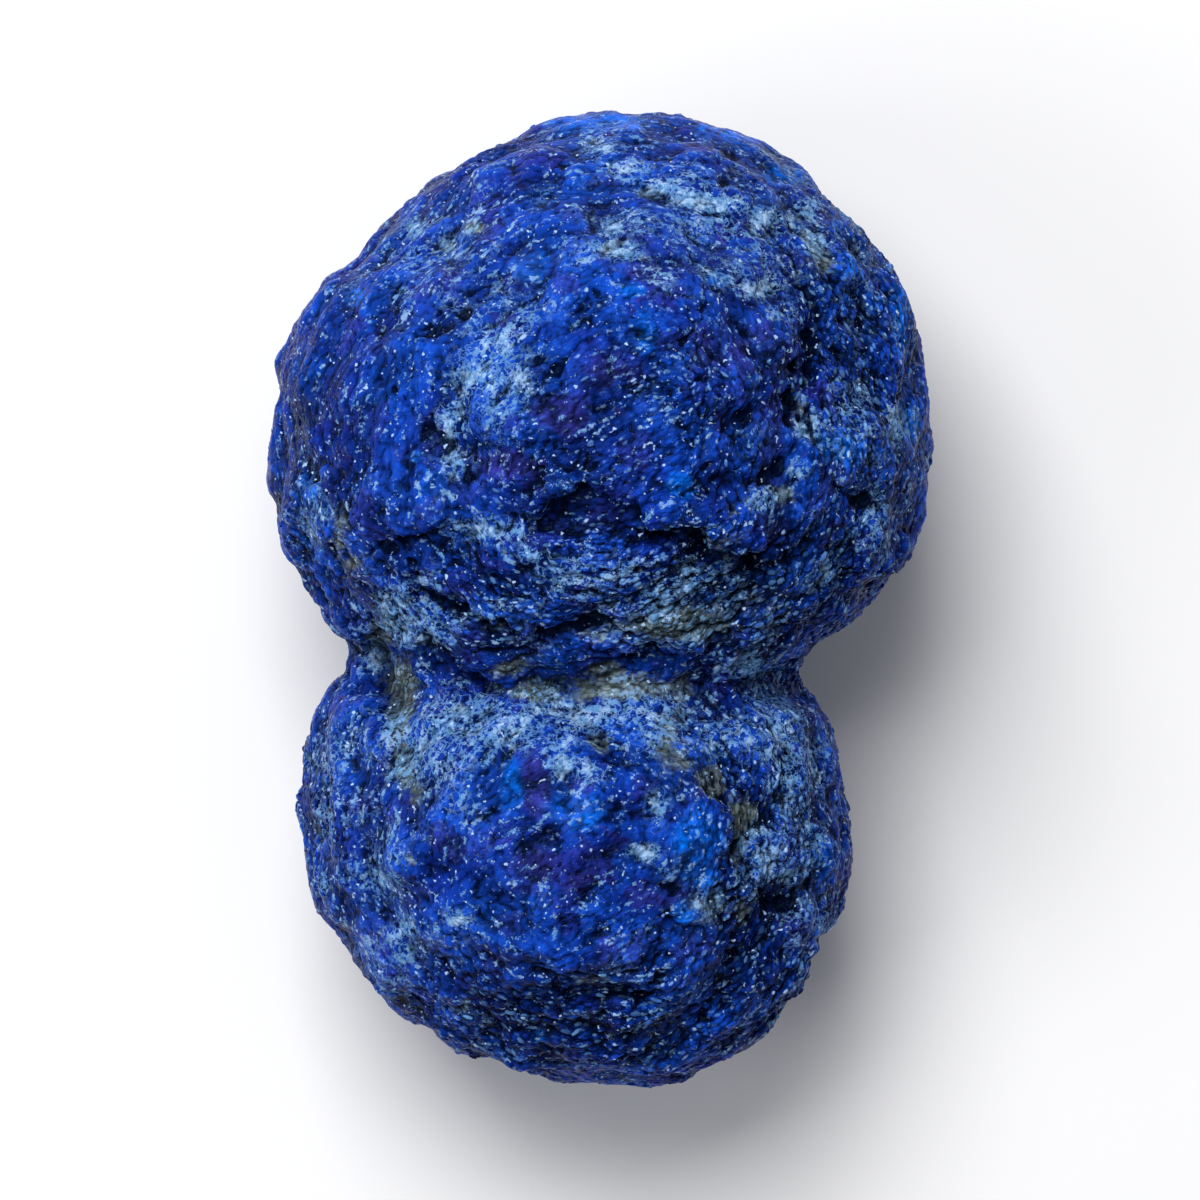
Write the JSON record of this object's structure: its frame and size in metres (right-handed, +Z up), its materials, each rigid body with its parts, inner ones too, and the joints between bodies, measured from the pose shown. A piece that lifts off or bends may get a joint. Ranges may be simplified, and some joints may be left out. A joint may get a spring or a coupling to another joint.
{
  "type": "azurite specimen",
  "caption": "Deep blue azurite concretion of two drusy balls grown together with a waist between them, lying on two small worn flats.",
  "frame": {"origin": "under the middle of the stone's length and breadth, on the surface that it rests on", "axes": "+Y along the stone from the small ball to the large ball, +Z up, +X across the stone"},
  "size_m": [0.0246, 0.0362, 0.0224],
  "materials": {
    "azurite": "matte"
  },
  "bodies": {
    "root": {"azurite_concretion": "azurite"}
  },
  "joints": []
}
